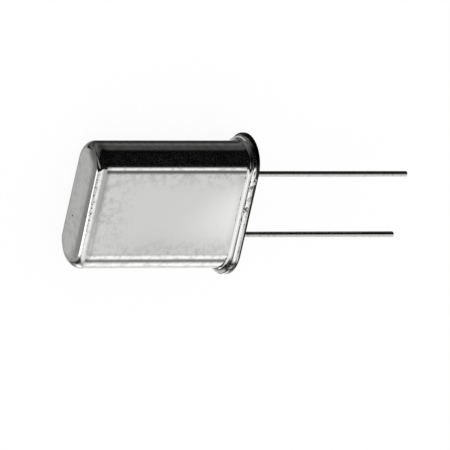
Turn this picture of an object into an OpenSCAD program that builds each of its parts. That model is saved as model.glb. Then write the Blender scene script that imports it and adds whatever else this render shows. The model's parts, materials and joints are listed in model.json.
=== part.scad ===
// Two-lead quartz crystal unit in a tall, flat, resistance-welded metal case.
//
// Frame: the origin is on the seating face of the base, midway between the two
// leads. +X runs along the leads to their tips, so the can lies toward -X.
// +Y is the wide way across the can, and +Z comes out of its upper wide face.
// Every ring, wall and flange is a "racetrack": a straight middle with
// full-round ends, all drawn around one spine along Y.

/* [Can] */
// Height of the can's closed end above the seating face
can_h = 13.3; // [12.6:0.1:14.5]
// Width of the can across its wide face
can_w = 9.92; // [9.5:0.02:10.5]
// Thickness of the can across its narrow side
can_t = 3.68; // [3.5:0.02:4]
// Sheet thickness of the drawn can
can_wall = 0.25; // [0.2:0.01:0.3]
// Outer radius round the edge of the closed end
can_corner_r = 0.7; // [0.5:0.05:1]

/* [Flanges and weld] */
// How far both flanges stand out from the can's wall
flange_rim = 0.48; // [0.44:0.01:0.6]
// Concave radius where the can's wall turns into its flange
flange_fillet_r = 0.25; // [0.18:0.01:0.28]
// Thickness of the welded ring between the two flanges
weld_t = 0.06; // [0.04:0.01:0.12]
// Width of the welded ring
weld_w = 0.14; // [0.1:0.01:0.16]

/* [Base] */
// Sheet thickness of the stamped base
base_sheet = 0.25; // [0.2:0.01:0.3]
// Height of the base's raised middle above the seating face
plateau_h = 0.9; // [0.85:0.05:1.1]
// Inside radius of the base's two bends
base_bend_r = 0.1; // [0.08:0.01:0.13]
// Gap between the raised middle and the can's inside wall
mouth_clearance = 0.1; // [0.06:0.01:0.14]
// Wall thickness of the collar round each lead hole
collar_wall = 0.2; // [0.15:0.01:0.22]
// Height of the collars above the raised middle
collar_h = 0.6; // [0.4:0.05:0.8]

/* [Glass seals] */
// Diameter of each glass bead
bead_d = 1.5; // [1.2:0.05:1.55]
// Depth of the curved hollow that the glass forms at each end
bead_dip = 0.08; // [0.04:0.01:0.12]
// Distance of the glass's edge from each end of its collar
bead_inset = 0.05; // [0:0.01:0.1]

/* [Leads] */
// Distance between the two leads, centre to centre
lead_pitch = 4.88; // [4.6:0.02:5.2]
// Diameter of the bare lead wire
wire_d = 0.41; // [0.35:0.01:0.5]
// Thickness of the solder coat on the leads outside the case
solder_t = 0.01; // [0.005:0.005:0.03]
// Bare wire left between the glass and the solder coat
bare_gap = 0.15; // [0.05:0.05:0.3]
// Length over which the coat thickens to its full thickness
coat_fade = 0.55; // [0.55:0.05:1.5]
// Length of the leads beyond the seating face
lead_len = 14.2; // [12.7:0.1:20]
// Chamfer on the cut tip of each lead
tip_chamfer = 0.05; // [0.02:0.01:0.1]
// How far each lead rises above its collar inside the can
post_rise = 0.6; // [0.4:0.05:0.8]

/* [Quartz blank and electrodes] */
// Gap between the disc's edge and the can's inside wall, on either side
blank_clearance = 0.71; // [0.6:0.01:1]
// Thickness of the quartz disc
blank_t = 0.33; // [0.2:0.01:0.5]
// Width of the bevel round both faces of the disc
bevel_w = 0.12; // [0.08:0.01:0.2]
// Depth of that bevel
bevel_t = 0.06; // [0.04:0.01:0.09]
// Gap between the disc's edge and the feet of the clips
blank_lift = 0.8; // [0.6:0.05:1.2]
// Diameter of the round electrodes
electrode_d = 4.5; // [4:0.1:5.5]
// Thickness of the electrode film, drawn heavier than real silver film
electrode_t = 0.02; // [0.01:0.005:0.03]
// Width of the tab from each electrode to the disc's edge
tab_w = 1; // [0.6:0.1:1.4]

/* [Clips and cement] */
// Sheet thickness of the spring clips
clip_t = 0.12; // [0.08:0.01:0.16]
// Width of the clip strips
clip_w = 1.6; // [1.2:0.1:2]
// Inside radius of the clips' bend
clip_bend_r = 0.2; // [0.1:0.05:0.3]
// How far the disc's edge passes through the clips' inner face
clip_bite = 0.15; // [0.12:0.01:0.2]
// Gap between the disc and the sides of the clips' slots
slot_clearance = 0.06; // [0.04:0.01:0.1]
// Gap between the disc and the ends of the clips' slots
slot_end_clearance = 0.2; // [0.1:0.05:0.3]
// Strip left above each slot
clip_end = 0.5; // [0.3:0.05:0.8]
// How far the clip's foot passes the lead's centre line
foot_reach = 0.4; // [0.3:0.05:0.6]
// Radius of each blob of conductive cement
cement_r = 0.55; // [0.45:0.05:0.6]

/* [Hidden] */
$fn = 96;

// How far each cut runs past the faces that it goes through
cut_past = 1;

// The racetrack spine, and the distances of walls and rims from it
spine_half = (can_w - can_t) / 2;
can_r = can_t / 2;
mouth_r = can_r - can_wall;
rim_r = can_r + flange_rim;
weld_r = can_r + flange_fillet_r;
plateau_r = mouth_r - mouth_clearance;
recess_r = plateau_r - base_sheet;

// Places along X, from the seating face at 0 toward the closed end
weld_x = -base_sheet;
cover_flange_x = weld_x - weld_t;
cover_flange_top_x = cover_flange_x - can_wall;
plateau_x = -plateau_h;
recess_x = plateau_x + base_sheet;
collar_x = plateau_x - collar_h;
post_x = collar_x - post_rise;
foot_x = post_x - clip_t;

// The quartz disc spans the inside of the can, less its clearances
blank_d = can_w - 2 * (can_wall + blank_clearance);
blank_x = foot_x - blank_lift - blank_d / 2;

// Leads and glass
lead_y = lead_pitch / 2;
wire_r = wire_d / 2;
lead_r = wire_r + solder_t;
bead_r = bead_d / 2;
bead_outer_x = recess_x - bead_inset;
bead_inner_x = collar_x + bead_inset;
bead_ring_w = bead_r - wire_r;
bead_dip_r = (pow(bead_ring_w / 2, 2) + pow(bead_dip, 2)) / (2 * bead_dip);
coat_start_x = bead_outer_x + bare_gap;
coat_full_x = coat_start_x + coat_fade;
tip_x = lead_len - tip_chamfer;

// Clips: the inner face of each upright, and its slot
clip_y = blank_d / 2 - clip_bite;
slot_half = sqrt(pow(blank_d / 2, 2) - pow(clip_y, 2)) + slot_end_clearance;
slot_w = blank_t + 2 * slot_clearance;
clip_top_x = blank_x - slot_half - slot_w / 2 - clip_end;

// Electrode tabs stop where the disc's bevel begins
tab_end = blank_d / 2 - bevel_w - clip_bite;

// Colours
can_metal = "#c9c9c7";
base_metal = "#bdbdb9";
weld_metal = "#a9a9a6";
lead_metal = "#b9b8b4";
glass_tint = "#5f6f78";
clip_metal = "#b7b09c";
quartz_tint = "#e4ebee";
silver_film = "#dcdcdc";
cement_tint = "#8f8d88";

// Turns a form built along Z so that it lies along X.
module along_x() {
    rotate([0, 90, 0]) children();
}

// Sweeps a section round the racetrack spine. The section's first axis is the
// distance from the spine, and its second is the place along X.
module racetrack() {
    along_x() {
        for (side = [0, 1])
            mirror([0, side, 0])
                translate([0, spine_half, 0])
                    rotate_extrude(angle = 180) children();
        translate([0, spine_half, 0])
            rotate([90, 0, 0])
                linear_extrude(height = 2 * spine_half) {
                    children();
                    mirror([1, 0]) children();
                }
    }
}

// A stretch of a section between two distances and two places along X.
module strip(from_r, to_r, from_x, to_x) {
    translate([from_r, min(from_x, to_x)])
        square([to_r - from_r, abs(to_x - from_x)]);
}

// A quarter turn of sheet about a centre, in the quadrant that turn picks.
module sheet_bend(centre, inner_r, sheet, turn) {
    translate(centre)
        intersection() {
            difference() {
                circle(inner_r + sheet);
                circle(inner_r);
            }
            rotate(turn) square(inner_r + sheet);
        }
}

// Draws a piece on the left (+Y) side, or its twin on the right. The twin is
// turned half round X, because the crystal's two ends are alike that way.
module on_side(side) {
    rotate([side == "left" ? 0 : 180, 0, 0]) children();
}

// A piece centred on the left lead's axis and built along X.
module on_lead() {
    translate([0, lead_y, 0]) along_x() children();
}

// Deep-drawn can: closed end, wall and out-turned flange in one sheet.
module cover() {
    end_x = -can_h;
    color(can_metal)
        racetrack() {
            strip(0, can_r - can_corner_r, end_x, end_x + can_wall);
            sheet_bend([can_r - can_corner_r, end_x + can_corner_r],
                       can_corner_r - can_wall, can_wall, 270);
            strip(mouth_r, can_r, end_x + can_corner_r, cover_flange_top_x - flange_fillet_r);
            sheet_bend([weld_r, cover_flange_top_x - flange_fillet_r],
                       flange_fillet_r, can_wall, 90);
            strip(weld_r, rim_r, cover_flange_top_x, cover_flange_x);
        }
}

// Ring of fused metal that joins the two flanges.
module weld_seam() {
    color(weld_metal)
        racetrack() strip(weld_r, weld_r + weld_w, cover_flange_x, weld_x);
}

// The stamped sheet of the base, before its lead holes are drawn.
module base_stamping() {
    racetrack() {
        strip(plateau_r + base_bend_r, rim_r, -base_sheet, 0);
        sheet_bend([plateau_r + base_bend_r, -base_sheet - base_bend_r],
                   base_bend_r, base_sheet, 90);
        strip(recess_r, plateau_r, -base_sheet - base_bend_r, recess_x + base_bend_r);
        sheet_bend([recess_r - base_bend_r, recess_x + base_bend_r],
                   base_bend_r, base_sheet, 270);
        strip(0, recess_r - base_bend_r, plateau_x, recess_x);
    }
}

// Stamped base: flange, raised middle and a drawn collar round each lead.
module base_plate() {
    color(base_metal)
        difference() {
            union() {
                base_stamping();
                for (side = ["left", "right"])
                    on_side(side)
                        on_lead()
                            translate([0, 0, collar_x])
                                cylinder(h = recess_x - collar_x, r = bead_r + collar_wall);
            }
            for (side = ["left", "right"])
                on_side(side)
                    on_lead()
                        translate([0, 0, collar_x - cut_past])
                            cylinder(h = recess_x - collar_x + 2 * cut_past, r = bead_r);
        }
}

// Glass bead fused between collar and lead, hollowed a little at both ends.
module glass_bead(side) {
    hollow_r = wire_r + bead_ring_w / 2;
    color(glass_tint)
        on_side(side)
            on_lead()
                rotate_extrude()
                    difference() {
                        strip(wire_r, bead_r, bead_inner_x, bead_outer_x);
                        translate([hollow_r, bead_outer_x - bead_dip + bead_dip_r])
                            circle(bead_dip_r);
                        translate([hollow_r, bead_inner_x + bead_dip - bead_dip_r])
                            circle(bead_dip_r);
                    }
}

// Round wire lead from its cut tip to its post inside the can. Its solder coat
// thins out near the case, and ends just outside the glass.
module lead(side) {
    color(lead_metal)
        on_side(side)
            on_lead()
                rotate_extrude()
                    polygon([
                        [lead_r, coat_full_x],
                        [lead_r, tip_x],
                        [lead_r - tip_chamfer, lead_len],
                        [0, lead_len],
                        [0, post_x],
                        [wire_r, post_x],
                        [wire_r, coat_start_x]
                    ]);
}

// Outline of a clip seen along Z: foot on the post, bend and upright.
module clip_outline() {
    bend_y = clip_y - clip_bend_r;
    bend_x = foot_x - clip_bend_r;
    translate([foot_x, lead_y - foot_reach])
        square([clip_t, bend_y - lead_y + foot_reach]);
    sheet_bend([bend_x, bend_y], clip_bend_r, clip_t, 0);
    translate([clip_top_x, clip_y])
        square([bend_x - clip_top_x, clip_t]);
}

// Slotted spring strip that stands on a lead and grips the disc's edge.
module spring_clip(side) {
    color(clip_metal)
        on_side(side)
            difference() {
                translate([0, 0, -clip_w / 2])
                    linear_extrude(height = clip_w) clip_outline();
                translate([blank_x, clip_y + clip_t + cut_past, 0])
                    rotate([90, 0, 0])
                        linear_extrude(height = clip_t + 2 * cut_past) {
                            square([2 * slot_half, slot_w], center = true);
                            for (end = [-1, 1])
                                translate([end * slot_half, 0]) circle(slot_w / 2);
                        }
            }
}

// Round quartz disc with a bevel round both faces.
module quartz_blank() {
    flat_r = blank_d / 2 - bevel_w;
    color(quartz_tint)
        translate([blank_x, 0, 0])
            rotate_extrude()
                polygon([
                    [0, -blank_t / 2],
                    [flat_r, -blank_t / 2],
                    [blank_d / 2, -blank_t / 2 + bevel_t],
                    [blank_d / 2, blank_t / 2 - bevel_t],
                    [flat_r, blank_t / 2],
                    [0, blank_t / 2]
                ]);
}

// Keyhole of silver film on one face, with its tab toward one clip.
module electrode(side) {
    color(silver_film)
        on_side(side)
            translate([blank_x, 0, blank_t / 2])
                linear_extrude(height = electrode_t) {
                    circle(electrode_d / 2);
                    translate([-tab_w / 2, 0]) square([tab_w, tab_end]);
                }
}

// Blob of conductive cement round the place where disc, tab and clip meet.
module cement(side) {
    color(cement_tint)
        difference() {
            on_side(side)
                translate([blank_x, clip_y + clip_t / 2, 0])
                    rotate([90, 0, 0]) sphere(cement_r);
            quartz_blank();
            spring_clip(side);
            electrode(side);
        }
}

cover();
base_plate();
weld_seam();
glass_bead("left");  // glass_bead_left
glass_bead("right");  // glass_bead_right
lead("left");  // lead_left
lead("right");  // lead_right
spring_clip("left");  // spring_clip_left
spring_clip("right");  // spring_clip_right
quartz_blank();
electrode("left");  // electrode_top
electrode("right");  // electrode_bottom
cement("left");  // cement_left
cement("right");  // cement_right
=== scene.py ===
import json
from math import atan2, cos, pi, radians, sin
from random import Random

import bmesh
import bpy
from mathutils import Matrix, Vector

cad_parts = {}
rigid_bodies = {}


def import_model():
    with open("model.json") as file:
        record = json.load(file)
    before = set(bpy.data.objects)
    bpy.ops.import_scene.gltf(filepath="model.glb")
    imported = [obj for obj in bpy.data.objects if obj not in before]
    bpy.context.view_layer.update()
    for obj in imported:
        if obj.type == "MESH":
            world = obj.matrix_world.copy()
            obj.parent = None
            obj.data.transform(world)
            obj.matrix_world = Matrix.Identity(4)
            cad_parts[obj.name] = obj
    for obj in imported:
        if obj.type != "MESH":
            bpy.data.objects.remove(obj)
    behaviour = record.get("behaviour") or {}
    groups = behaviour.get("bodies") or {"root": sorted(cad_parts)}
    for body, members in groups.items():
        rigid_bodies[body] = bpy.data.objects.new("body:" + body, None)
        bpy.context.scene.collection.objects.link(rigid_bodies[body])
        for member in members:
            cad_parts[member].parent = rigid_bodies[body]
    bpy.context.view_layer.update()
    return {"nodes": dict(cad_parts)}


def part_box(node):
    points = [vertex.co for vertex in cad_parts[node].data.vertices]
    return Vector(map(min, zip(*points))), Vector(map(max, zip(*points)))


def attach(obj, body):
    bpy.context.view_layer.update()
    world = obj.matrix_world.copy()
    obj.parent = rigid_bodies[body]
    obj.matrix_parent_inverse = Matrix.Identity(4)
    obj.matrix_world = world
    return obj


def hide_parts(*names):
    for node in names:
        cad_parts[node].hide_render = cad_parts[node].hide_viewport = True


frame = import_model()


# ---------------------------------------------------------------------------
# Base plate
# Stamped from iron-nickel-cobalt sealing alloy: a flat flange, a raised middle
# that fits the can's mouth, and a collar drawn up round each lead hole. It is
# nickel-plated, and rests on the circuit board by its flange.
# ---------------------------------------------------------------------------
MM = 0.001

base_low, base_high = (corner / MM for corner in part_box("base_plate"))
bead_low, bead_high = (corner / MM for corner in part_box("glass_bead_left"))

rim_r = base_high.z                       # from the racetrack's spine to the flange's edge
spine_half = base_high.y - rim_r          # half the length of the racetrack's spine
lip_inset = 0.012                         # the weld flash stands this far out of the lips
rim_width = 0.21                          # this much of the flange moves where its outline isn't true
left_overhang = 0.14                      # the base sits off centre, and reaches past the can's flange here
right_trim = 0.12                         # both flanges are cut this much flatter at the right-hand tip
trim_start_y = -5.1
trim_growth = 10                          # per square millimetre past there
base_sheet = 0.25
recess_r = 1.24
recess_x = -0.65
recess_bend = 0.1
collar_x = base_low.x
collar_wall = 0.2
hole_round = 0.1
lead_y = (bead_low.y + bead_high.y) / 2
bead_r = bead_high.z
same = 0.01                               # places closer than this are taken as the same


def linear(colour):
    """An sRGB hex colour as linear red, green, blue and alpha."""
    levels = [int(colour[place:place + 2], 16) / 255 for place in (1, 3, 5)]
    return [level / 12.92 if level <= 0.04045 else ((level + 0.055) / 1.055) ** 2.4
            for level in levels] + [1]


def add_node(tree, kind, settings=None, links=None, stops=()):
    """Adds a node, with its properties and input values, and a ramp's stops. Its links come from
    sockets, or from nodes by their first output in use."""
    node = tree.nodes.new("ShaderNode" + kind)
    for name, value in (settings or {}).items():
        if isinstance(name, int) or name in node.inputs:
            node.inputs[name].default_value = value
        else:
            setattr(node, name, value)
    for name, source in (links or {}).items():
        if isinstance(source, bpy.types.Node):
            source = next(output for output in source.outputs if output.enabled)
        tree.links.new(source, node.inputs[name])
    for _ in stops[2:]:
        node.color_ramp.elements.new(0.5)
    for number, (position, colour) in enumerate(stops):
        node.color_ramp.elements[number].position = position
        node.color_ramp.elements[number].color = colour
    return node


def new_material(name):
    """An empty material, its node tree, and a shaded point's place on the object."""
    material = bpy.data.materials.new(name)
    material.use_nodes = True
    tree = material.node_tree
    tree.nodes.clear()
    return material, tree, add_node(tree, "TexCoord").outputs["Object"]


def spine_distance(tree, place):
    """The distance of a shaded point from the racetrack's spine, in metres."""
    sideways = add_node(tree, "Math", {"operation": "ABSOLUTE"}, {0: place["Y"]})
    past_end = add_node(tree, "Math", {"operation": "SUBTRACT", 1: spine_half * MM}, {0: sideways})
    past_end = add_node(tree, "Math", {"operation": "MAXIMUM", 1: 0.0}, {0: past_end})
    flat = add_node(tree, "CombineXYZ", links={"Y": past_end, "Z": place["Z"]})
    return add_node(tree, "VectorMath", {"operation": "LENGTH"}, {0: flat})


def burnt_corner(tree, point, place):
    """Where the weld burnt the flange at its right-hand end: 1 where it is burnt, in patches."""
    toward_end = add_node(tree, "MapRange", {"From Min": -3.45 * MM, "From Max": -3.8 * MM},
                          {"Value": place["Y"]})
    from_spine = spine_distance(tree, place)
    on_flange = add_node(tree, "MapRange",
                         {"From Min": (rim_r - 0.46) * MM, "From Max": (rim_r - 0.38) * MM},
                         {"Value": from_spine})
    slant = add_node(tree, "Math", {"operation": "MULTIPLY_ADD", 1: -1.3}, {0: from_spine, 2: place["Z"]})
    upper = add_node(tree, "MapRange", {"From Min": -1.385 * MM, "From Max": -1.135 * MM}, {"Value": slant})
    soot = add_node(tree, "TexNoise", {"Scale": 1 / (0.3 * MM), "Detail": 3.0}, {"Vector": point})
    sooty = add_node(tree, "MapRange", {"From Min": 0.4, "From Max": 0.52, "To Min": 0.55}, {"Value": soot})
    burnt = toward_end
    for share in (on_flange, upper, sooty):
        burnt = add_node(tree, "Math", {"operation": "MULTIPLY"}, {0: burnt, 1: share})
    return burnt


# Satin nickel plate on the stamped alloy: a soft grey metal, finely pebbled, that goes
# duller and a little darker in patches where the glass firing oxidised it. The lower
# half of its sheared edge is painted dark: partly the dull metal where the sheet broke, partly painted
# shade.
base_nickel, tree, point = new_material("nickel_plated_sealing_alloy")
place = add_node(tree, "SeparateXYZ", links={0: point}).outputs
patches = add_node(tree, "TexNoise", {"Scale": 1 / (1.1 * MM), "Detail": 3.0}, {"Vector": point})
pebbles = add_node(tree, "TexNoise", {"Scale": 1 / (0.12 * MM), "Detail": 2.0}, {"Vector": point})
tone = add_node(tree, "ValToRGB", links={0: patches},
                stops=((0.38, linear("#b4b3af")), (0.62, linear("#cfcecb"))))
dullness = add_node(tree, "MapRange", {"From Min": 0.35, "From Max": 0.65, "To Min": 0.26, "To Max": 0.14},
                    {"Value": patches})
relief = add_node(tree, "Bump", {"Strength": 0.25, "Distance": 0.003 * MM}, {"Height": pebbles})
# The dark band on the lower half of the flange's edge is partly the dull broken metal and partly painted
# shade along the edge
sheared = add_node(tree, "MapRange", {"From Min": (rim_r - 0.08) * MM, "From Max": (rim_r - 0.05) * MM},
                   {"Value": spine_distance(tree, place)})
break_and_shade_slant = add_node(tree, "Math", {"operation": "MULTIPLY_ADD", 1: 0.016},
                       {0: place["Y"], 2: place["X"]})
broken_and_shaded = add_node(tree, "MapRange", {"From Min": -0.2 * MM, "From Max": -0.18 * MM}, {"Value": break_and_shade_slant})
edge = add_node(tree, "Math", {"operation": "MULTIPLY"}, {0: sheared, 1: broken_and_shaded})
edged = add_node(tree, "Mix", {"data_type": "RGBA", 7: linear("#343230")}, {0: edge, 6: tone})
edged = add_node(tree, "Mix", {"data_type": "RGBA", 7: linear("#484643")},
                 {0: burnt_corner(tree, point, place), 6: edged})
shader = add_node(tree, "BsdfPrincipled", {"Metallic": 1.0},
                  {"Base Color": edged, "Roughness": dullness, "Normal": relief})
add_node(tree, "OutputMaterial", links={"Surface": shader})


def select(kind, test):
    """Selects, of the mesh in edit mode, the verts, edges or faces that pass the test."""
    bpy.ops.mesh.select_all(action="DESELECT")
    bpy.ops.mesh.select_mode(type={"verts": "VERT", "edges": "EDGE", "faces": "FACE"}[kind])
    mesh = bmesh.from_edit_mesh(bpy.context.object.data)
    for part in getattr(mesh, kind):
        if test(part):
            part.select_set(True)
    bmesh.update_edit_mesh(bpy.context.object.data)
    bpy.ops.mesh.select_mode(type="VERT")


def start_section(x, y, r):
    """Adds one point, selected, to the mesh in edit mode, or to a new mesh."""
    if bpy.context.mode == "EDIT_MESH":
        bpy.ops.mesh.select_all(action="DESELECT")
    else:
        bpy.ops.object.select_all(action="DESELECT")
    bpy.ops.mesh.primitive_plane_add(size=1)
    bpy.ops.object.mode_set(mode="EDIT")
    bpy.ops.mesh.merge(type="CENTER")
    bpy.ops.transform.translate(value=(x, y, r))


def pen():
    """Where the last point of the section is."""
    mesh = bmesh.from_edit_mesh(bpy.context.object.data)
    return next(vert.co for vert in mesh.verts if vert.select)


def line_to(x, r):
    """Draws the section straight on to a distance r from its axis or spine."""
    move = (x - pen().x, 0, r - pen().z)
    bpy.ops.mesh.extrude_vertices_move(TRANSFORM_OT_translate={"value": move})


def bend_to(x, r, centre_x, centre_r, steps=8):
    """Draws the section on round a centre."""
    x0, r0 = pen().x - centre_x, pen().z - centre_r
    x1, r1 = x - centre_x, r - centre_r
    bpy.ops.mesh.spin(steps=steps, angle=atan2(x0 * r1 - r0 * x1, x0 * x1 + r0 * r1),
                      center=(centre_x, pen().y, centre_r), axis=(0, 1, 0))


def sweep_racetrack(arc_steps=56, straight_steps=24):
    """Takes the section, drawn at the left end of the spine, all the way round."""
    bpy.ops.mesh.select_all(action="SELECT")
    for side in (1, -1):
        bpy.ops.mesh.spin(steps=arc_steps, angle=pi, center=(0, side * spine_half, 0), axis=(1, 0, 0))
        for _ in range(straight_steps):
            step = (0, -side * 2 * spine_half / straight_steps, 0)
            bpy.ops.mesh.extrude_edges_move(TRANSFORM_OT_translate={"value": step})


def turn_round_lead(y, steps=64):
    """Turns the selected section into a round form about the axis of a lead."""
    bpy.ops.mesh.spin(steps=steps, angle=2 * pi, center=(0, y, 0), axis=(1, 0, 0))


def weld_points(toward=(1, 0, 0)):
    """Merges doubles and turns the faces outwards: the one farthest toward a side faces it."""
    bpy.ops.mesh.select_all(action="SELECT")
    bpy.ops.mesh.remove_doubles(threshold=0.0004)
    bpy.ops.mesh.normals_make_consistent(inside=False)
    mesh = bmesh.from_edit_mesh(bpy.context.object.data)
    toward = Vector(toward)
    outermost = max(mesh.faces, key=lambda face: (round(face.calc_center_median() @ toward, 3),
                                                  abs(face.normal @ toward)))
    if outermost.normal @ toward < 0:
        bpy.ops.mesh.flip_normals()


def apply_modifier(kind, **settings):
    """Adds a modifier with its settings to the piece, and applies it."""
    if bpy.context.mode == "EDIT_MESH":
        bpy.ops.object.mode_set(mode="OBJECT")
    bpy.ops.object.modifier_add(type=kind)
    modifier = bpy.context.object.modifiers[-1]
    for name, value in settings.items():
        setattr(modifier, name, value)
    bpy.ops.object.modifier_apply(modifier=modifier.name)


def off_spine(point):
    """A point's distance from the racetrack's spine."""
    return Vector((max(abs(point.y) - spine_half, 0), point.z)).length


def clamp(value):
    """A value, kept from 0 to 1."""
    return min(max(value, 0), 1)


def weigh(name, share):
    """Makes a vertex group of the piece, with the weight that share gives for a point, if it gives one."""
    bpy.ops.object.mode_set(mode="OBJECT")
    group = bpy.context.object.vertex_groups.new(name=name)
    for vert in bpy.context.object.data.vertices:
        weight = share(vert.co)
        if weight is not None:
            group.add([vert.index], weight, "REPLACE")


def push(name, share, **settings):
    """Moves the piece's points by a displacement, as far as share gives for each."""
    weigh(name, share)
    apply_modifier("DISPLACE", vertex_group=name, **settings)
    bpy.context.object.vertex_groups.remove(bpy.context.object.vertex_groups[name])


def round_lip(x, radius):
    """Rounds the cut edge of a flange that lies at x."""
    bpy.ops.object.mode_set(mode="EDIT")
    select("edges", lambda edge: edge.calc_face_angle(0) > radians(60)
           and all(off_spine(vert.co) > rim_r - lip_inset - 0.02 and abs(vert.co.x - x) < same
                   for vert in edge.verts))
    bpy.ops.mesh.bevel(offset=radius, segments=4, affect="EDGES", profile=0.5)


def pull_rim(distance, share):
    """Moves the flange's rim along Y by a distance, as far as share gives for each point."""
    push("rim", lambda point: clamp(share(point)) if off_spine(point) > rim_r - rim_width else None,
         direction="Y", strength=distance, mid_level=0)


def past_left_end(point):
    """Whether a point lies round the left-hand end."""
    return point.y > spine_half - same


def at_right_tip(point):
    """How near a point of the rim is to the right-hand tip, from 0 up."""
    return trim_growth * max(trim_start_y - point.y, 0) ** 2


def finish_piece(name, material):
    """Smooths the piece, turns millimetres to metres in its mesh, and gives it its name and finish."""
    if bpy.context.mode == "EDIT_MESH":
        bpy.ops.object.mode_set(mode="OBJECT")
    piece = bpy.context.object
    bpy.ops.object.shade_smooth_by_angle(angle=radians(40))
    apply_modifier("WEIGHTED_NORMAL", keep_sharp=True)
    bpy.ops.object.transform_apply(location=True, rotation=True, scale=True)
    bpy.ops.object.mode_set(mode="EDIT")
    bpy.ops.mesh.select_all(action="SELECT")
    bpy.ops.transform.resize(value=(MM, MM, MM), center_override=(0, 0, 0))
    bpy.ops.object.mode_set(mode="OBJECT")
    piece.name = name
    piece.data.name = name
    piece.data.materials.clear()
    piece.data.materials.append(material)
    return piece


start_section(0, spine_half, rim_r - lip_inset)
line_to(0, recess_r + base_sheet + recess_bend)
bend_to(-base_sheet - recess_bend, recess_r, -base_sheet - recess_bend, recess_r + base_sheet + recess_bend)
line_to(recess_x + recess_bend, recess_r)
bend_to(recess_x, recess_r - recess_bend, recess_x + recess_bend, recess_r - recess_bend)
sweep_racetrack()
for side in (1, -1):
    start_section(recess_x, side * lead_y, bead_r + hole_round)
    bend_to(recess_x - hole_round, bead_r, recess_x - hole_round, bead_r + hole_round)
    line_to(collar_x, bead_r)
    bpy.ops.mesh.select_linked()
    turn_round_lead(side * lead_y)
weld_points()
select("edges", lambda edge: edge.is_boundary
       and all(abs(vert.co.x - recess_x) < 0.001 for vert in edge.verts))
bpy.ops.mesh.fill(use_beauty=True)
weld_points()
weigh("sheet", lambda point: collar_wall / base_sheet if point.x < recess_x - same else 1)
apply_modifier("SOLIDIFY", thickness=base_sheet, offset=-1, use_even_offset=True, vertex_group="sheet")
round_lip(x=0, radius=0.05)
round_lip(x=-base_sheet, radius=0.07)
pull_rim(left_overhang, past_left_end)
pull_rim(right_trim, at_right_tip)
base = finish_piece("base_stamping", base_nickel)
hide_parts("base_plate")
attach(base, "root")


# ---------------------------------------------------------------------------
# Glass beads
# One bead of dark sealing glass in each collar, fused to the collar and to the
# lead, so that the case stays airtight and the leads stay insulated. As it melts
# the glass climbs both walls, which leaves a shallow hollow between them.
# ---------------------------------------------------------------------------
wire_r = 0.205
bead_gap = 0.003
meniscus = 0.08

# Fused sealing glass: almost black blue-grey, glossy, with a few pale pinhead bubbles
# just under the surface and faint swirls where it flowed.
seal_glass, tree, point = new_material("fused_sealing_glass")
swirls = add_node(tree, "TexNoise", {"Scale": 1 / (0.5 * MM), "Detail": 2.0, "Distortion": 1.2},
                  {"Vector": point})
bubbles = add_node(tree, "TexVoronoi", {"Scale": 1 / (0.16 * MM)}, {"Vector": point})
bubble_mask = add_node(tree, "MapRange", {"From Min": 0.1, "From Max": 0.2, "To Min": 0.5, "To Max": 0.0},
                       {"Value": bubbles})
glass_tone = add_node(tree, "ValToRGB", links={0: swirls},
                      stops=((0.35, linear("#1b2429")), (0.65, linear("#36454c"))))
glass_colour = add_node(tree, "Mix", {"data_type": "RGBA", 7: linear("#8b999e")},
                        {0: bubble_mask, 6: glass_tone})
ripple = add_node(tree, "Bump", {"Strength": 0.2, "Distance": 0.01 * MM}, {"Height": swirls})
shader = add_node(tree, "BsdfPrincipled", {"Roughness": 0.08, "IOR": 1.52},
                  {"Base Color": glass_colour, "Normal": ripple})
add_node(tree, "OutputMaterial", links={"Surface": shader})


def draw_meniscus(x, to_r, way):
    """Draws the hollow end of a bead across to a radius; way is the side that the hollow opens to."""
    half = abs(to_r - pen().z) / 2
    hollow_r = (half ** 2 + meniscus ** 2) / (2 * meniscus)
    bend_to(x, to_r, x + way * (hollow_r - meniscus), (pen().z + to_r) / 2, steps=10)


def copy_to_right(piece, name):
    """Copies a left-hand piece, with its own mesh, turned half round X to the right-hand side."""
    bpy.ops.object.select_all(action="DESELECT")
    piece.select_set(True)
    bpy.context.view_layer.objects.active = piece
    bpy.ops.object.duplicate()
    twin = bpy.context.object
    bpy.ops.object.mode_set(mode="EDIT")
    bpy.ops.mesh.select_all(action="SELECT")
    bpy.ops.transform.rotate(value=pi, orient_axis="X", center_override=(0, 0, 0))
    bpy.ops.object.mode_set(mode="OBJECT")
    twin.name = name
    twin.data.name = name
    return twin


start_section(bead_high.x, lead_y, wire_r)
draw_meniscus(bead_high.x, bead_r - bead_gap, way=1)
line_to(bead_low.x, bead_r - bead_gap)
draw_meniscus(bead_low.x, wire_r, way=-1)
line_to(bead_high.x, wire_r)
bpy.ops.mesh.select_all(action="SELECT")
turn_round_lead(lead_y)
weld_points()
left_bead = finish_piece("sealing_glass_left", seal_glass)
right_bead = copy_to_right(left_bead, "sealing_glass_right")
for bead, node in ((left_bead, "glass_bead_left"), (right_bead, "glass_bead_right")):
    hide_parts(node)
    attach(bead, "root")


# ---------------------------------------------------------------------------
# Leads
# Round wire of the same sealing alloy, fused into the glass. Outside the case it
# is dipped in solder, which leaves a thin, slightly rippled coat that fades out
# just short of the glass. The far ends are sheared off, a little out of square.
# ---------------------------------------------------------------------------
lead_low, lead_high = (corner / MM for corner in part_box("lead_left"))
lead_r = lead_high.z
coat_start_x = -0.55
coat_full_x = 0
ripple_depth = 0.003
ripple_step = 0.3
tip_slant = radians(7)
tip_round = 0.03
wire_steps = 32

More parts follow.
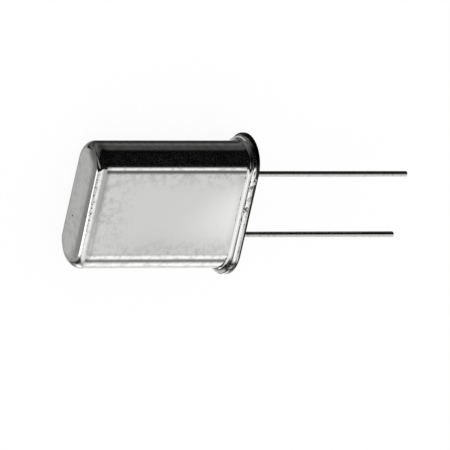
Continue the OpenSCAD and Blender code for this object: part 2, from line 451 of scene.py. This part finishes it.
# Dipped solder over the wire: a soft silver-grey metal with long, faint streaks along
# the wire and dull grey freckles where it has oxidised.
tinned_wire, tree, point = new_material("solder_dipped_wire")
along = add_node(tree, "Mapping", {"Scale": (0.12, 1, 1)}, {"Vector": point})
streaks = add_node(tree, "TexNoise", {"Scale": 1 / (0.15 * MM), "Detail": 3.0}, {"Vector": along})
freckles = add_node(tree, "TexNoise", {"Scale": 1 / (0.25 * MM), "Detail": 4.0}, {"Vector": point})
wire_tone = add_node(tree, "ValToRGB", links={0: freckles},
                     stops=((0.3, linear("#bdbcb9")), (0.45, linear("#dddcda"))))
wire_gloss = add_node(tree, "MapRange", {"From Min": 0.3, "From Max": 0.7, "To Min": 0.05, "To Max": 0.1},
                      {"Value": streaks})
wire_relief = add_node(tree, "Bump", {"Strength": 0.15, "Distance": 0.001 * MM}, {"Height": streaks})
shader = add_node(tree, "BsdfPrincipled", {"Metallic": 1.0},
                  {"Base Color": wire_tone, "Roughness": wire_gloss, "Normal": wire_relief})
add_node(tree, "OutputMaterial", links={"Surface": shader})

chance = Random(4)
start_section(lead_low.x, lead_y, 0)
line_to(lead_low.x, wire_r)
line_to(coat_start_x, wire_r)
line_to(coat_full_x, lead_r)
while pen().x < lead_high.x - 1.5 * ripple_step:
    line_to(pen().x + ripple_step, lead_r - ripple_depth * chance.random())
line_to(lead_high.x, lead_r)
line_to(lead_high.x, 0)
bpy.ops.mesh.select_all(action="SELECT")
turn_round_lead(lead_y, wire_steps)
weld_points()
bpy.ops.mesh.bisect(plane_co=(lead_high.x - 2 * tip_round, lead_y, 0),
                    plane_no=(cos(tip_slant), 0, sin(tip_slant)), clear_outer=True, use_fill=True)
select("edges", lambda edge: edge.calc_face_angle(0) > radians(60)
       and all(vert.co.x > lead_high.x - ripple_step for vert in edge.verts))
bpy.ops.mesh.bevel(offset=tip_round, segments=3, affect="EDGES", profile=0.5)
left_lead = finish_piece("wire_lead_left", tinned_wire)
right_lead = copy_to_right(left_lead, "wire_lead_right")
for lead, node in ((left_lead, "lead_left"), (right_lead, "lead_right")):
    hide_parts(node)
    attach(lead, "root")


# ---------------------------------------------------------------------------
# Can
# Deep-drawn from thin steel in one piece: closed end, flat oval wall and a flange
# turned out round the mouth. It is bright nickel-plated. Its wide faces bulge a
# little, and rubbing on other parts has left faint patches near their edges.
# ---------------------------------------------------------------------------
cover_low, cover_high = (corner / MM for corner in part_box("cover"))
end_x = cover_low.x
can_wall = 0.25
can_r = 1.84
can_corner = 0.6                          # along the wide faces
front_corner = 0.45                       # along the upper wide face, toward the right-hand side
front_corner_from = 1.5                   # it starts to shrink here,
front_corner_over = 4.6                   # and is down to the smaller radius after this much
right_corner = 0.95                       # round the right-hand side, where the steel was drawn hardest
right_corner_from = 0.7                   # past the spine's end, on the upper side
right_corner_over = 0.9
end_flat = 0.62
end_crown = 0.06                          # the closed end falls away this much toward its edge,
crown_share = 0.2                         # and by this share of it
crown_r = 0.88                            # this far from the spine
flange_fillet = 0.25
left_setback = 0.12                       # the flange is trimmed this much closer below its left-hand tip,
setback_from_z = -0.4                     # from here down,
setback_over = 0.8                        # and fully after this much more
flange_top_x = cover_high.x - can_wall
wall_stations = 22
face_bulge = 0.05
soft = {"interpolation_type": "SMOOTHSTEP"}

# Bright nickel plate over drawn steel: an almost mirror-clear grey-white metal. Faint
# lines run the way it was drawn, and handling has left small dull clouds that are
# thickest near the edges of the wide faces.
can_nickel, tree, point = new_material("bright_nickel_plated_steel")
place = add_node(tree, "SeparateXYZ", links={0: point}).outputs
clouds = add_node(tree, "TexNoise", {"Scale": 1 / (0.42 * MM), "Detail": 4.0, "Roughness": 0.6},
                  {"Vector": point})
draw_lines = add_node(tree, "Mapping", {"Scale": (0.05, 1, 1)}, {"Vector": point})
streaks = add_node(tree, "TexNoise", {"Scale": 1 / (0.12 * MM), "Detail": 3.0}, {"Vector": draw_lines})
sideways = add_node(tree, "Math", {"operation": "ABSOLUTE"}, {0: place["Y"]})
near_sides = add_node(tree, "MapRange", {"From Min": 1.7 * MM, "From Max": 3.1 * MM}, {"Value": sideways})
near_end = add_node(tree, "MapRange", {"From Min": (end_x + 4) * MM, "From Max": (end_x + 1) * MM},
                    {"Value": place["X"]})
rubbed = add_node(tree, "Math", {"operation": "MAXIMUM"}, {0: near_sides, 1: near_end})
off_end = add_node(tree, "MapRange",
                   {"From Min": (end_x + 0.1) * MM, "From Max": (end_x + 0.4) * MM, "To Min": 0.5},
                   {"Value": place["X"]})
dull_spots = add_node(tree, "MapRange", {"From Min": 0.46, "From Max": 0.62}, {"Value": clouds})
cloudy = rubbed
for share in (dull_spots, off_end):
    cloudy = add_node(tree, "Math", {"operation": "MULTIPLY"}, {0: cloudy, 1: share})
can_tone = add_node(tree, "Mix", {"data_type": "RGBA", 6: linear("#e3e3e2"), 7: linear("#cbcbc9")},
                    {0: cloudy})
can_gloss = add_node(tree, "MapRange", {"To Min": 0.06, "To Max": 0.13}, {"Value": cloudy})

# Just past the closed end's edge the plate is a little darker, most toward the left
on_edge = add_node(tree, "MapRange",
                   soft | {"From Min": (end_x + 0.26) * MM, "From Max": (end_x + 0.42) * MM},
                   {"Value": place["X"]})
off_edge = add_node(tree, "MapRange",
                    soft | {"From Min": (end_x + 1.1) * MM, "From Max": (end_x + 0.55) * MM},
                    {"Value": place["X"]})
along_edge = add_node(tree, "MapRange", {"From Min": -3.3 * MM, "From Max": 1.5 * MM, "To Min": 0.6},
                      {"Value": place["Y"]})
darker_past_end = on_edge
for share in (off_edge, along_edge):
    darker_past_end = add_node(tree, "Math", {"operation": "MULTIPLY"}, {0: darker_past_end, 1: share})
can_tone = add_node(tree, "Mix", {"data_type": "RGBA", 7: linear("#a8a8a6")}, {0: darker_past_end, 6: can_tone})

# The fillet to the flange is painted a little whiter: a painted highlight that brightens its reflection
from_spine = spine_distance(tree, place)
painted_fillet_highlight = add_node(tree, "MapRange", {"From Min": (can_r + 0.055) * MM, "From Max": (can_r + 0.075) * MM},
                     {"Value": from_spine})
can_tone = add_node(tree, "Mix", {"data_type": "RGBA", 7: linear("#fbfbfa")}, {0: painted_fillet_highlight, 6: can_tone})

# The flange's flat top is painted darker in a track short of both ends: painted shade that stands for the
# dark it reflects
off_wall = add_node(tree, "MapRange", {"From Min": (can_r + 0.2) * MM, "From Max": (can_r + 0.24) * MM},
                    {"Value": from_spine})
off_lip = add_node(tree, "MapRange", {"From Min": (rim_r - 0.06) * MM, "From Max": (rim_r - 0.1) * MM},
                   {"Value": from_spine})
short_of_left = add_node(tree, "MapRange", {"From Min": 3.6 * MM, "From Max": 2.6 * MM},
                         {"Value": place["Y"]})
short_of_right = add_node(tree, "MapRange", {"From Min": -4.5 * MM, "From Max": -3.9 * MM},
                          {"Value": place["Y"]})
painted_flange_shade = off_wall
for share in (off_lip, short_of_left, short_of_right):
    painted_flange_shade = add_node(tree, "Math", {"operation": "MULTIPLY"}, {0: painted_flange_shade, 1: share})
can_tone = add_node(tree, "Mix", {"data_type": "RGBA", 7: linear("#85837f")}, {0: painted_flange_shade, 6: can_tone})
can_tone = add_node(tree, "Mix", {"data_type": "RGBA", 7: linear("#484643")},
                    {0: burnt_corner(tree, point, place), 6: can_tone})

# One stray pit in the closed end
pit_way = add_node(tree, "VectorMath", {"operation": "DISTANCE", 1: (end_x * MM, -1.11 * MM, -0.51 * MM)},
                   {0: point})
pit = add_node(tree, "MapRange",
               {"From Min": 0.05 * MM, "From Max": 0.11 * MM, "To Min": 1.0, "To Max": 0.0},
               {"Value": pit_way})
can_tone = add_node(tree, "Mix", {"data_type": "RGBA", 7: linear("#3d3c3b")}, {0: pit, 6: can_tone})

# The closed end's edge is rubbed flat toward the right, and scuffed by small knocks toward the left
off_face = add_node(tree, "MapRange",
                    soft | {"From Min": (end_x + 0.065) * MM, "From Max": (end_x + 0.12) * MM},
                    {"Value": place["X"]})
off_wide_face = add_node(tree, "MapRange",
                         soft | {"From Min": (end_x + 0.7) * MM, "From Max": (end_x + 0.4) * MM},
                         {"Value": place["X"]})
off_side = add_node(tree, "MapRange", {"From Min": 3.5 * MM, "From Max": 3.1 * MM}, {"Value": place["Y"]})
along_flat = add_node(tree, "MapRange", {"From Min": 2.5 * MM, "From Max": -2.5 * MM, "To Max": 0.5},
                      {"Value": place["Y"]})
end_edge = add_node(tree, "Math", {"operation": "MULTIPLY"}, {0: off_face, 1: off_wide_face})
rubbed_flat = add_node(tree, "Math", {"operation": "MULTIPLY"}, {0: end_edge, 1: along_flat})
scuffed = end_edge
for share in (off_side, along_edge):
    scuffed = add_node(tree, "Math", {"operation": "MULTIPLY"}, {0: scuffed, 1: share})
scuffs = add_node(tree, "TexNoise", {"Scale": 1 / (0.28 * MM), "Detail": 2.0}, {"Vector": point})
can_relief = add_node(tree, "Bump", {"Distance": 0.04 * MM}, {"Height": rubbed_flat})
can_relief = add_node(tree, "Bump", {"Distance": 0.04 * MM},
                      {"Strength": scuffed, "Height": scuffs, "Normal": can_relief})
can_relief = add_node(tree, "Bump", {"Strength": 0.12, "Distance": 0.003 * MM},
                      {"Height": clouds, "Normal": can_relief})
can_relief = add_node(tree, "Bump", {"Strength": 0.12, "Distance": 0.002 * MM},
                      {"Height": streaks, "Normal": can_relief})
shader = add_node(tree, "BsdfPrincipled", {"Metallic": 1.0},
                  {"Base Color": can_tone, "Roughness": can_gloss, "Normal": can_relief})
add_node(tree, "OutputMaterial", links={"Surface": shader})

start_section(end_x, spine_half, 0)
line_to(end_x, end_flat)
line_to(end_x + crown_share * end_crown, crown_r)
line_to(end_x + end_crown, can_r)
line_to(end_x + end_crown + right_corner + 0.1, can_r)
wall_length = flange_top_x - flange_fillet - pen().x
for _ in range(wall_stations):
    line_to(pen().x + wall_length / wall_stations, can_r)
bend_to(flange_top_x, can_r + flange_fillet, flange_top_x - flange_fillet, can_r + flange_fillet, steps=10)
line_to(flange_top_x, rim_r - lip_inset)
sweep_racetrack()
weld_points(toward=(-1, 0, 0))


def edge_radius(middle):
    """The punch edge's radius at a place: small along the wide faces, bigger round the narrow sides."""
    shrunk = clamp((front_corner_from - middle.y) / front_corner_over) if middle.z > 0 else 0
    straight = can_corner + (front_corner - can_corner) * shrunk
    past_spine = -middle.y - spine_half - (right_corner_from if middle.z > 0 else 0)
    return straight + (right_corner - straight) * clamp(past_spine / right_corner_over)


bpy.ops.object.mode_set(mode="OBJECT")
mesh = bpy.context.object.data
share = mesh.attributes.new("bevel_weight_edge", "FLOAT", "EDGE")
for edge in mesh.edges:
    ends = [mesh.vertices[index].co for index in edge.vertices]
    if all(abs(end.x - end_x - end_crown) < 0.001 and off_spine(end) > can_r - same for end in ends):
        share.data[edge.index].value = edge_radius(sum(ends, Vector()) / 2) / right_corner
apply_modifier("BEVEL", width=right_corner, segments=14, limit_method="WEIGHT", use_clamp_overlap=False)

wall_start, wall_end = end_x + end_crown + can_corner, flange_top_x - flange_fillet


def spring(point, side):
    """How far a point of the wide face on one side springs out, from 0 to 1."""
    along_wall = (point.x - wall_start) / (wall_end - wall_start)
    if point.z * side > can_r - same and 0 < along_wall < 1:
        return 4 * along_wall * (1 - along_wall) * (1 - (point.y / spine_half) ** 2)


# The wide faces, which were drawn straight, spring out a little in their middle
for side in (1, -1):
    push("spring", lambda point: spring(point, side), direction="Z", strength=side * face_bulge,
         mid_level=0)
apply_modifier("SOLIDIFY", thickness=can_wall, offset=-1, use_even_offset=True)
round_lip(x=flange_top_x, radius=0.09)
round_lip(x=cover_high.x, radius=0.07)
pull_rim(-left_setback, lambda point: past_left_end(point) * (setback_from_z - point.z) / setback_over)
pull_rim(right_trim, at_right_tip)
can = finish_piece("drawn_can", can_nickel)
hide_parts("cover")
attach(can, "root")


# ---------------------------------------------------------------------------
# Weld
# The two flanges are pressed together and welded by one pulse of current. The
# metal that melts between them freezes as a thin ring, and squeezes out of the
# joint as an uneven bead with small splashes.
# ---------------------------------------------------------------------------
weld_low, weld_high = (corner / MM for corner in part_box("weld_seam"))
seam_x = (weld_low.x + weld_high.x) / 2
flash_half = 0.035
flash_root_r = rim_r - 0.2
flash_edge_r = rim_r - 0.06
bead_start_y, bead_growth = -1.1, 0.5     # the bead along the upper side grows from here within this much,
bead_end_y, bead_fading = 3.4, 0.8        # and fades out within this much before here
corner_bead_y, corner_bead_half = -3.9, 0.7
least_squeeze = 0.12
run_count = 34
run_size, run_size_spread = 0.1, 0.16     # a run's radius, and how far it varies
run_start_y, run_y_spread = -0.9, 3.7
corner_run_from, corner_run_spread = 6, 34  # degrees round the right-hand end
corner_run_share = 0.7                    # of the size of the others
lip_run_shape = (0.7, 1.25, 0.35)
lip_run_r = rim_r - 0.045
lip_run_x, lip_run_x_spread = seam_x - 0.12, 0.16
top_run_shape = (0.35, 1.3, 0.7)
top_run_r, top_run_r_spread = can_r + flange_fillet + 0.03, 0.1

# Melted and frozen plate and steel: silvery, lumpy and bright where it ran, with dark
# burnt specks and grey oxide between the lumps.
weld_metal, tree, point = new_material("resistance_weld_flash")
place = add_node(tree, "SeparateXYZ", links={0: point}).outputs
lumps = add_node(tree, "TexNoise", {"Scale": 1 / (0.2 * MM), "Detail": 3.0}, {"Vector": point})
specks = add_node(tree, "TexNoise", {"Scale": 1 / (0.35 * MM), "Detail": 5.0, "Roughness": 0.7},
                  {"Vector": point})
weld_tone = add_node(tree, "ValToRGB", links={0: specks},
                     stops=((0.38, linear("#5f5d5a")), (0.5, linear("#e2e1df"))))
weld_gloss = add_node(tree, "MapRange", {"From Min": 0.35, "From Max": 0.6, "To Min": 0.4, "To Max": 0.14},
                      {"Value": specks})
weld_relief = add_node(tree, "Bump", {"Strength": 0.4, "Distance": 0.02 * MM}, {"Height": lumps})
weld_tone = add_node(tree, "Mix", {"data_type": "RGBA", 7: linear("#484643")},
                     {0: burnt_corner(tree, point, place), 6: weld_tone})
shader = add_node(tree, "BsdfPrincipled", {"Metallic": 1.0},
                  {"Base Color": weld_tone, "Roughness": weld_gloss, "Normal": weld_relief})
add_node(tree, "OutputMaterial", links={"Surface": shader})

start_section(seam_x + flash_half, spine_half, flash_root_r)
line_to(seam_x + flash_half, flash_edge_r)
bend_to(seam_x - flash_half, flash_edge_r, seam_x, flash_edge_r - 0.02)
line_to(seam_x - flash_half, flash_root_r)
line_to(seam_x + flash_half, flash_root_r)
sweep_racetrack(arc_steps=150, straight_steps=130)
weld_points(toward=(0, 0, 1))


def squeezed_out(point):
    """How much metal the weld squeezed out at a place round the seam: 1 is most."""
    if off_spine(point) <= flash_edge_r - same:
        return None
    front = corner = 0
    if point.z > 0:
        front = min(clamp((point.y - bead_start_y) / bead_growth),
                    clamp((bead_end_y - point.y) / bead_fading))
        corner = clamp(1 - abs(point.y - corner_bead_y) / corner_bead_half)
    return max(front, corner, least_squeeze)


lumpiness = bpy.data.textures.new("lumpiness", "CLOUDS")
lumpiness.noise_scale = 0.28
lumpiness.noise_depth = 2
push("squeeze", squeezed_out, texture=lumpiness, strength=0.09, mid_level=0.4)

# Runs of metal that froze on the flange's top and over its lip
bpy.ops.object.mode_set(mode="EDIT")
ring_points = len(bpy.context.object.data.vertices)
chance = Random(11)
for number in range(run_count):
    run = run_size + run_size_spread * chance.random()
    if number % 5 == 4:                   # round the corner at the right-hand end
        turn = radians(corner_run_from + corner_run_spread * chance.random())
        run *= corner_run_share
        outward, y = Vector((0, -sin(turn), cos(turn))), -spine_half
    else:
        outward, y = Vector((0, 0, 1)), run_start_y + run_y_spread * chance.random()
    if number % 2 == 0:                   # over the lip
        shape, out = lip_run_shape, lip_run_r
        x = lip_run_x + lip_run_x_spread * chance.random()
    else:                                 # on the flange's top
        shape, x = top_run_shape, flange_top_x
        out = top_run_r + top_run_r_spread * chance.random()
    bpy.ops.mesh.primitive_ico_sphere_add(subdivisions=4, radius=run, scale=shape,
                                          location=Vector((x, y, 0)) + outward * out)
bpy.ops.object.mode_set(mode="OBJECT")
runs = bpy.context.object.vertex_groups.new(name="runs")
runs.add(range(ring_points, len(bpy.context.object.data.vertices)), 1, "REPLACE")
crinkle = bpy.data.textures.new("crinkle", "CLOUDS")
crinkle.noise_scale = 0.16
apply_modifier("DISPLACE", texture=crinkle, strength=0.1, mid_level=0.6, vertex_group="runs")
pull_rim(right_trim, at_right_tip)
flash = finish_piece("weld_flash", weld_metal)
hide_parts("weld_seam")
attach(flash, "root")


# ---------------------------------------------------------------------------
# Spring clips
# Two thin nickel-silver strips, spot-welded by a foot to the inner ends of the
# leads. Each has a slot that grips one edge of the crystal and lets it vibrate.
# ---------------------------------------------------------------------------
# Rolled nickel silver: a warm grey metal with fine lines along the strip
clip_strip, tree, point = new_material("rolled_nickel_silver")
rolled_way = add_node(tree, "Mapping", {"Scale": (0.05, 1, 1)}, {"Vector": point})
rolling = add_node(tree, "TexNoise", {"Scale": 1 / (0.06 * MM), "Detail": 3.0}, {"Vector": rolled_way})
clip_tone = add_node(tree, "Mix", {"data_type": "RGBA", 6: linear("#b8b09f"), 7: linear("#cfc8b8")},
                     {0: rolling})
clip_relief = add_node(tree, "Bump", {"Strength": 0.3, "Distance": 0.002 * MM}, {"Height": rolling})
shader = add_node(tree, "BsdfPrincipled", {"Metallic": 1.0, "Roughness": 0.28},
                  {"Base Color": clip_tone, "Normal": clip_relief})
add_node(tree, "OutputMaterial", links={"Surface": shader})


def dress(node, material):
    """Gives a CAD piece that keeps its own shape its finish."""
    slots = frame["nodes"][node].data.materials
    slots.clear()
    slots.append(material)


dress("spring_clip_left", clip_strip)
dress("spring_clip_right", clip_strip)


# ---------------------------------------------------------------------------
# Crystal
# A thin round blank sawn and lapped from quartz, bevelled round its edge. A silver
# film on each face is its electrode, with a tab that runs out to one of the clips.
# ---------------------------------------------------------------------------
# Lapped quartz: clear, but frosted by an even, very fine grain
lapped_quartz, tree, point = new_material("lapped_quartz")
grain = add_node(tree, "TexNoise", {"Scale": 1 / (0.05 * MM), "Detail": 4.0}, {"Vector": point})
frost = add_node(tree, "MapRange", {"From Min": 0.3, "From Max": 0.7, "To Min": 0.22, "To Max": 0.38},
                 {"Value": grain})
frost_relief = add_node(tree, "Bump", {"Strength": 0.25, "Distance": 0.002 * MM}, {"Height": grain})
shader = add_node(tree, "BsdfPrincipled",
                  {"Base Color": linear("#f1f4f4"), "IOR": 1.544, "Transmission Weight": 1.0},
                  {"Roughness": frost, "Normal": frost_relief})
add_node(tree, "OutputMaterial", links={"Surface": shader})
dress("quartz_blank", lapped_quartz)

# Evaporated silver: a pale bright film that follows the lapped grain, faintly yellowed in clouds
silver_film, tree, point = new_material("evaporated_silver_film")
tarnish = add_node(tree, "TexNoise", {"Scale": 1 / (1.2 * MM), "Detail": 3.0}, {"Vector": point})
grain = add_node(tree, "TexNoise", {"Scale": 1 / (0.05 * MM), "Detail": 4.0}, {"Vector": point})
film_tone = add_node(tree, "Mix", {"data_type": "RGBA", 6: linear("#eceae6"), 7: linear("#e2dccb")},
                     {0: tarnish})
film_relief = add_node(tree, "Bump", {"Strength": 0.3, "Distance": 0.002 * MM}, {"Height": grain})
shader = add_node(tree, "BsdfPrincipled", {"Metallic": 1.0, "Roughness": 0.26},
                  {"Base Color": film_tone, "Normal": film_relief})
add_node(tree, "OutputMaterial", links={"Surface": shader})
dress("electrode_top", silver_film)
dress("electrode_bottom", silver_film)


# ---------------------------------------------------------------------------
# Conductive cement
# A dab of silver-filled epoxy on each clip holds the edge of the crystal and joins
# its electrode to the clip. It is put on as a thick paste and baked hard.
# ---------------------------------------------------------------------------
# Silver-filled epoxy: matt warm grey paste with pale metal flakes
silver_cement, tree, point = new_material("silver_filled_epoxy")
flakes = add_node(tree, "TexVoronoi", {"Scale": 1 / (0.05 * MM)}, {"Vector": point})
paste = add_node(tree, "TexNoise", {"Scale": 1 / (0.2 * MM), "Detail": 3.0}, {"Vector": point})
flake_share = add_node(tree, "MapRange", {"From Min": 0.45, "From Max": 0.15}, {"Value": flakes})
cement_tone = add_node(tree, "Mix", {"data_type": "RGBA", 6: linear("#8f8b85"), 7: linear("#c9c7c2")},
                       {0: flake_share})
cement_relief = add_node(tree, "Bump", {"Strength": 0.5, "Distance": 0.01 * MM}, {"Height": paste})
shader = add_node(tree, "BsdfPrincipled", {"Metallic": 0.35, "Roughness": 0.55},
                  {"Base Color": cement_tone, "Normal": cement_relief})
add_node(tree, "OutputMaterial", links={"Surface": shader})
dress("cement_left", silver_cement)
dress("cement_right", silver_cement)


# ---------------------------------------------------------------------------
# Studio
# A pale floor and a plain soft surround. Bright metal shows whatever stands round
# it, so the surround has lit screens and cards, a grey wall past each end of the
# case, and a black flag, as is usual round a polished piece.
# ---------------------------------------------------------------------------
floor_tilt = radians(2.28)                # the case lies on its flange and on its closed end's edge
floor_size = 600
floor_glow = 0.93                         # how far the floor shows as plain white

floor_white, tree, _ = new_material("matt_white_paper")
paper = add_node(tree, "BsdfDiffuse", {"Color": linear("#fdfdfc")})
lit = add_node(tree, "Emission", {"Color": (1, 1, 1, 1), "Strength": 1.0})
rays = add_node(tree, "LightPath").outputs
seen = rays["Is Camera Ray"]
for kind in ("Is Glossy Ray", "Is Transmission Ray"):
    seen = add_node(tree, "Math", {"operation": "MAXIMUM"}, {0: seen, 1: rays[kind]})
seen = add_node(tree, "Math", {"operation": "MULTIPLY", 1: floor_glow}, {0: seen})
shader = add_node(tree, "MixShader", links={0: seen, 1: paper, 2: lit})
add_node(tree, "OutputMaterial", links={"Surface": shader})

bpy.ops.object.select_all(action="DESELECT")
bpy.ops.mesh.primitive_plane_add(size=floor_size * MM, location=(flange_top_x * MM, 0, -rim_r * MM),
                                 rotation=(0, floor_tilt, 0))
floor = bpy.context.object
floor.name = "floor"
floor.data.materials.append(floor_white)
floor.visible_glossy = False

# What stands round the object, by degrees from overhead toward +Y, and how bright it is
lit_side = (
    (-180, 0.1),                          # the gap under the table's edge
    (-150, 0.75), (-120, 0.58),           # the table
    (-92, 0.95),                          # a low card
    (-65, 0.16),                          # a gap
    (-46, 0.95),                          # a high card
    (-31, 0.6),                           # the ceiling
    (-25, 0.8), (-22, 0.8),               # a soft overhead screen
    (-8.5, 0.15), (-3.5, 0.13),           # a gap
    (6, 1.27),                            # a strip light
    (18.5, 0.01), (28, 0.003),            # the black flag starts
)
flag_side = (
    (92, 0.003),                          # the black flag ends
    (110, 0.08), (120, 0.072),            # the dim room
    (137, 0.14),                          # a dim window
    (165, 0.01), (180, 0.1),
)
# Past the closed end, by height: a light screen, the dark room to its +Y side, and how far toward
# +Y the screen reaches, plus 1
end_screen = ((-1, 0.34), (-0.785, 0.565), (-0.69, 0.15), (-0.45, 2.1), (-0.2, 0.62), (0.7, 1.15), (1, 1.0))
end_room = ((-1, 0.25), (-0.87, 0.1), (-0.7, 0.16), (-0.45, 0.005))
screen_reach = ((-1, 0.92), (-0.74, 0.675), (-0.3, 0.71), (0.3, 0.75), (0.97, 1.12))
# Low on the -Y side, by how far that way: a grey card with a dark gap
near_card = ((0.45, 0.45), (0.88, 0.04), (0.94, 0.04), (0.99, 0.3))

world = bpy.data.worlds.new("studio")
bpy.context.scene.world = world
world.use_nodes = True
tree = world.node_tree
tree.nodes.clear()
toward = add_node(tree, "TexCoord").outputs["Generated"]
axes = add_node(tree, "SeparateXYZ", links={0: toward}).outputs
around = add_node(tree, "Math", {"operation": "ARCTAN2"}, {0: axes["Y"], 1: axes["Z"]})
turn = add_node(tree, "MapRange", {"From Min": -pi, "From Max": pi}, {"Value": around})
height = add_node(tree, "MapRange", {"From Min": -1.0, "From Max": 1.0}, {"Value": axes["Z"]})
toward_near = add_node(tree, "Math", {"operation": "MULTIPLY", 1: -1.0}, {0: axes["Y"]})
ramps = []
for value, low, high, levels in (
        (turn, -180, 180, lit_side),
        (turn, -180, 180, flag_side),
        (height, -1, 1, end_screen),
        (height, -1, 1, end_room),
        (height, -1, 1, screen_reach),
        (toward_near, 0, 1, near_card)):
    stops = [((at - low) / (high - low), (level, level, level, 1)) for at, level in levels]
    ramp = add_node(tree, "ValToRGB", links={0: value}, stops=stops)
    ramp.color_ramp.interpolation = "EASE"
    ramps.append(ramp)
lit_ramp, flag_ramp, screen_ramp, room_ramp, reach_ramp, near_ramp = ramps

flag_end = flag_side[0][0]
past_flag = add_node(tree, "Math", {"operation": "GREATER_THAN", 1: (flag_end + 180) / 360}, {0: turn})
ring = add_node(tree, "Mix", {"data_type": "RGBA"}, {0: past_flag, 6: lit_ramp, 7: flag_ramp})

past_reach = add_node(tree, "Math", {"operation": "SUBTRACT"}, {0: axes["Y"], 1: reach_ramp})
on_screen = add_node(tree, "MapRange", soft | {"From Min": -0.97, "From Max": -1.03}, {"Value": past_reach})
end_side = add_node(tree, "Mix", {"data_type": "RGBA"}, {0: on_screen, 6: room_ramp, 7: screen_ramp})
to_near = add_node(tree, "MapRange", soft | {"From Min": 0.42, "From Max": 0.5}, {"Value": toward_near})
below = add_node(tree, "MapRange", soft | {"From Min": 0.3, "From Max": 0.0}, {"Value": axes["Z"]})
behind = add_node(tree, "MapRange", soft | {"From Min": 0.15, "From Max": -0.15}, {"Value": axes["X"]})
for share in (below, behind):
    to_near = add_node(tree, "Math", {"operation": "MULTIPLY"}, {0: to_near, 1: share})
end_side = add_node(tree, "Mix", {"data_type": "RGBA"}, {0: to_near, 6: end_side, 7: near_ramp})
to_end = add_node(tree, "MapRange", soft | {"From Min": 0.44, "From Max": 0.34}, {"Value": axes["X"]})
off_side = add_node(tree, "MapRange", soft | {"From Min": 0.4, "From Max": 0.2}, {"Value": axes["Y"]})
to_end = add_node(tree, "Math", {"operation": "MULTIPLY"}, {0: to_end, 1: off_side})
surround = add_node(tree, "Mix", {"data_type": "RGBA"}, {0: to_end, 6: ring, 7: end_side})

# A thin dark strip underneath, a brighter stretch toward the leads, and a flag past that
strip_side = (0.639, -0.745, -0.19)       # across the strip
strip_way = (-0.3, 0.06, -0.95)           # toward its middle
lead_way = (1, -0.2, 0)
across_strip = add_node(tree, "VectorMath", {"operation": "DOT_PRODUCT", 1: strip_side}, {0: toward})
off_strip = add_node(tree, "Math", {"operation": "ADD", 1: 0.045}, {0: across_strip})
off_strip = add_node(tree, "Math", {"operation": "ABSOLUTE"}, {0: off_strip})
strip_across = add_node(tree, "MapRange", soft | {"From Min": 0.075, "From Max": 0.03},
                        {"Value": off_strip})
toward_strip = add_node(tree, "VectorMath", {"operation": "DOT_PRODUCT", 1: strip_way}, {0: toward})
strip_along = add_node(tree, "MapRange", soft | {"From Min": 0.885, "From Max": 0.92},
                       {"Value": toward_strip})
strip = add_node(tree, "Math", {"operation": "MULTIPLY"}, {0: strip_across, 1: strip_along})
strip = add_node(tree, "MapRange", {"To Min": 1.0, "To Max": 0.02}, {"Value": strip})
toward_leads = add_node(tree, "VectorMath", {"operation": "DOT_PRODUCT", 1: lead_way}, {0: toward})
brighter = add_node(tree, "MapRange", {"From Min": 0.59, "From Max": 0.614, "To Min": 1.0, "To Max": 1.4},
                    {"Value": toward_leads})
flag = add_node(tree, "MapRange", {"From Min": 0.8, "From Max": 0.86, "To Min": 1.0, "To Max": 0.04},
                {"Value": axes["X"]})
for share in (strip, brighter, flag):
    surround = add_node(tree, "VectorMath", {"operation": "SCALE"}, {0: surround, "Scale": share})

# Past the leads a plain grey wall, and past the closed end a tall narrow one
to_wall = add_node(tree, "MapRange", soft | {"From Min": 0.92, "From Max": 0.98}, {"Value": axes["X"]})
surround = add_node(tree, "Mix", {"data_type": "RGBA", 7: (0.5, 0.5, 0.5, 1)}, {0: to_wall, 6: surround})
narrowed = add_node(tree, "VectorMath", {"operation": "MULTIPLY", 1: (1, 5, 1)}, {0: toward})
off_panel = add_node(tree, "VectorMath", {"operation": "DISTANCE", 1: (-1, 0, -0.1)}, {0: narrowed})
to_panel = add_node(tree, "MapRange", soft | {"From Min": 0.55, "From Max": 0.35}, {"Value": off_panel})
surround = add_node(tree, "Mix", {"data_type": "RGBA", 7: (0.32, 0.32, 0.32, 1)},
                    {0: to_panel, 6: surround})

# Only reflections show the surround: everything else is lit by even white
rays = add_node(tree, "LightPath").outputs
surround = add_node(tree, "Mix", {"data_type": "RGBA", 6: (1, 1, 1, 1)},
                    {0: rays["Is Glossy Ray"], 7: surround})
light = add_node(tree, "Background", {"Strength": 1.0}, {"Color": surround})
add_node(tree, "OutputWorld", links={"Surface": light})

# A long lens, far enough off to keep the leads parallel
view_azimuth = radians(235.438)
view_elevation = radians(51.458)
view_roll = radians(131.254)
view_width = 33.051
lens = 1500
sensor = 36
aim = Vector((-0.626, -1.541, 0.286))

camera_data = bpy.data.cameras.new("camera")
camera_data.lens = lens
camera_data.sensor_width = sensor
camera_data.clip_start = 0.01
camera_data.clip_end = 10
camera = bpy.data.objects.new("camera", camera_data)
bpy.context.scene.collection.objects.link(camera)
away = Vector((sin(view_azimuth) * cos(view_elevation), -cos(view_azimuth) * cos(view_elevation),
               sin(view_elevation)))
level_turn = away.to_track_quat("Z", "Y").to_matrix().to_4x4()
camera.matrix_world = (Matrix.Translation((aim + away * view_width * lens / sensor) * MM)
                       @ level_turn @ Matrix.Rotation(view_roll, 4, "Z"))
bpy.context.scene.camera = camera
bpy.context.scene.view_settings.view_transform = "Standard"
